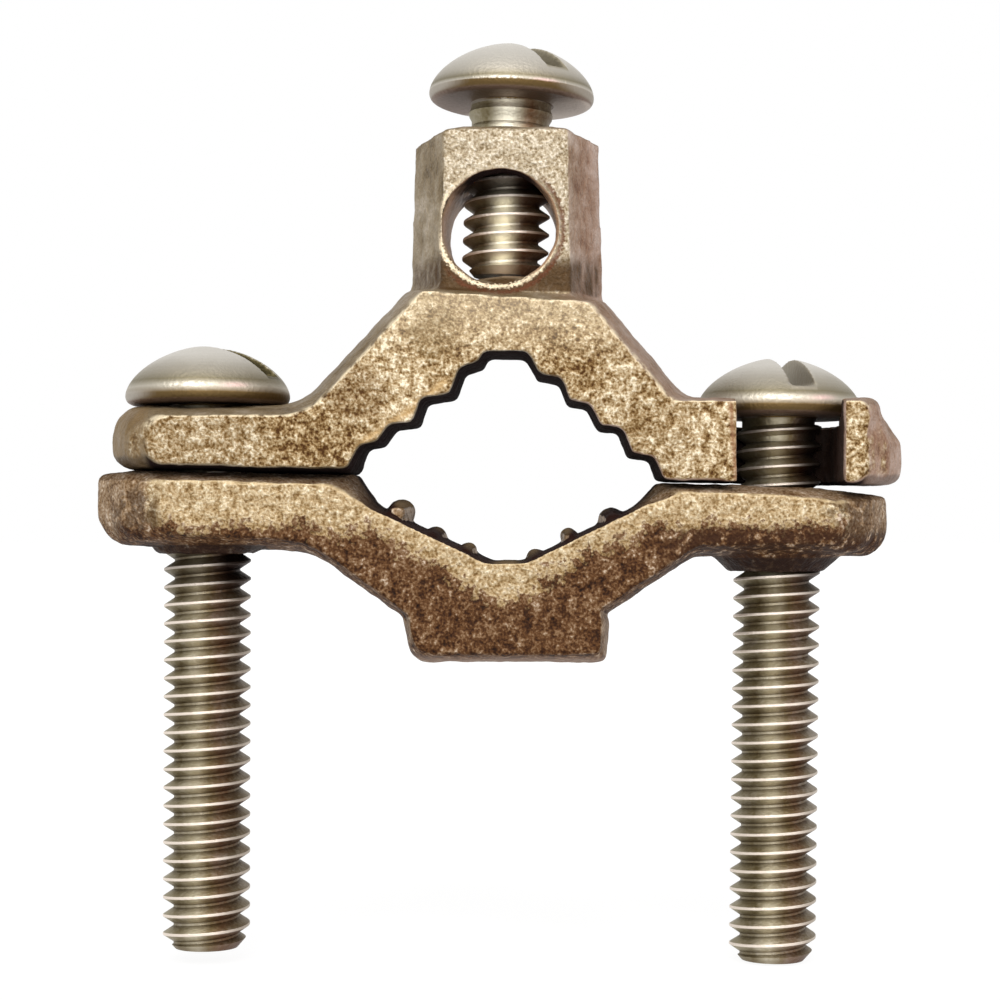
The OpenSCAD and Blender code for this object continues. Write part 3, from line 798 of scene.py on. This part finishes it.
def slotted_head(name, slot_turn, size):
    """A round head whose dome rises from a rounded rim, with a driver slot sawn right across it."""
    dome = [(HEAD_R * math.sin(t) ** DOME_POWER, HEAD_RIM + (HEAD_H - HEAD_RIM) * math.cos(t) ** DOME_POWER)
            for t in (math.radians(5 * i) for i in range(1, 19))]
    rim = [(HEAD_R - 0.01, 0.45), (HEAD_R - 0.17, 0.16), (HEAD_R - 0.5, 0), (0, 0)]
    head = turned(name, [(0, HEAD_H)] + dome + rim, HEAD_STEPS)
    cut(head, start(
        bpy.ops.mesh.primitive_cube_add, size=1, location=mm(0, 0, HEAD_H), rotation=(0, 0, slot_turn),
        scale=mm(20, DRIVER_SLOT_W, 2 * DRIVER_SLOT_DEPTH)))
    modify(head, "REMESH", mode="VOXEL", voxel_size=0.1 * MM)
    modify(head, "SMOOTH", factor=0.5, iterations=10)
    head.scale = (size, size, size)
    place(head)
    return head


def screw_piece(name, screw, crest_z, finish, neck_line=PLAIN_NECK, thread_top=-0.5, head_size=1.0):
    """A slotted round-head screw in its place, leaning as its hole lets it."""
    rod = threaded(name, screw.length, crest_z - screw.seat, thread_top)
    neck = turned(name + " neck", neck_line, SHANK_STEPS)
    head = slotted_head(name + " head", screw.slot_turn, head_size)
    only(rod, neck, head)
    bpy.ops.object.join()
    rod.name = name
    rod.location = mm(screw.x, 0, screw.seat)
    place(rod)
    with editing(rod):
        for axis, turn in (("Y", -screw.lean), ("X", screw.tilt)):
            bpy.ops.transform.rotate(
                value=turn, orient_axis=axis, center_override=mm(screw.x, 0, screw.pivot))
        bpy.ops.transform.translate(value=mm(screw.aside, 0, 0))
    only(rod)
    bpy.ops.object.shade_smooth_by_angle(angle=math.radians(32))
    coat(rod, finish)
    stand_for(rod, screw.node)


# Each screw's share and heights say where its shank is painted with shade, under the lower jaw or in the wire
# hole
screw_piece("left_clamp_bolt", LEFT, -7.0, screw_steel(
    "left screw steel", LEFT, shine=0.38, stain_and_shade=0.4, shade_from=-7.6, shade_to=5.2, slot_light_and_shade=(84, 76, 50)))
screw_piece("right_clamp_bolt", RIGHT, -7.75, screw_steel(
    "right screw steel", RIGHT, shine=0.38, stain_and_shade=0.12, shade_from=-7.6, shade_to=4.4,
    slot_light_and_shade=(158, 150, 134)))
screw_piece("wire_bolt", WIRE, 18.5, screw_steel(
    "wire screw steel", WIRE, shine=0.12, stain_and_shade=0.82, shade_from=19.5, shade_to=24.0,
    slot_light_and_shade=(148, 140, 120), painted_gleam=0.75), neck_line=FLARED_NECK, thread_top=-2.3, head_size=1.01)


# Floor, light and backdrop

def pale_floor():
    """A pale floor that keeps the clamp's shadow, and is plain white further off."""
    paint = Paint("pale floor", Base_Color=(0.85, 0.85, 0.85, 1), Roughness=0.9)
    far = ((paint.x ** 2 + paint.y ** 2) ** 0.5).above(45.0, 90.0)
    glow = paint.node("ShaderNodeEmission", {}, {"Strength": 1.08})
    blend = paint.node("ShaderNodeMixShader", {}, {
        0: paint.seen_ray() * (0.86 + far * 0.14), 1: Value(paint, paint.shader.outputs[0]), 2: glow})
    paint.feed(paint.tree.nodes["Material Output"].inputs[0], blend)
    return paint.material


floor = start(bpy.ops.mesh.primitive_plane_add, size=4, location=(0, 0, cad_box[0][2] - 0.1 * MM))
floor.name = "floor"
coat(floor, pale_floor())


def softbox(name, azimuth, elevation, distance, size, watts, colour):
    """A square lamp that faces the clamp. Azimuth 0 is in front and 90 is on the right."""
    a, e = math.radians(azimuth), math.radians(elevation)
    spot = Vector((math.sin(a) * math.cos(e), -math.cos(a) * math.cos(e), math.sin(e))) * distance
    bpy.ops.object.light_add(type="AREA", location=spot, rotation=spot.to_track_quat("Z", "Y").to_euler())
    lamp = bpy.context.active_object
    lamp.name = name
    lamp.data.shape = "SQUARE"
    lamp.data.size, lamp.data.energy, lamp.data.color = size, watts, colour


softbox("key", -12, 48, 0.5, 0.4, 1.8, (1.0, 0.98, 0.95))
softbox("fill", 46, 30, 0.5, 0.16, 0.5, (1.0, 0.9, 0.88))
softbox("front", -4, 4, 0.45, 0.06, 0.3, (1.0, 0.99, 0.95))

bpy.context.scene.view_settings.view_transform = "Standard"
world = bpy.data.worlds.new("studio")
world.use_nodes = True
bpy.context.scene.world = world
sky = Nodes(world.node_tree)
backdrop = sky.tree.nodes["Background"]
sky.feed(backdrop.inputs["Color"], (1, 1, 1))
sky.feed(backdrop.inputs["Strength"], 0.42 + sky.seen_ray() * 0.58)
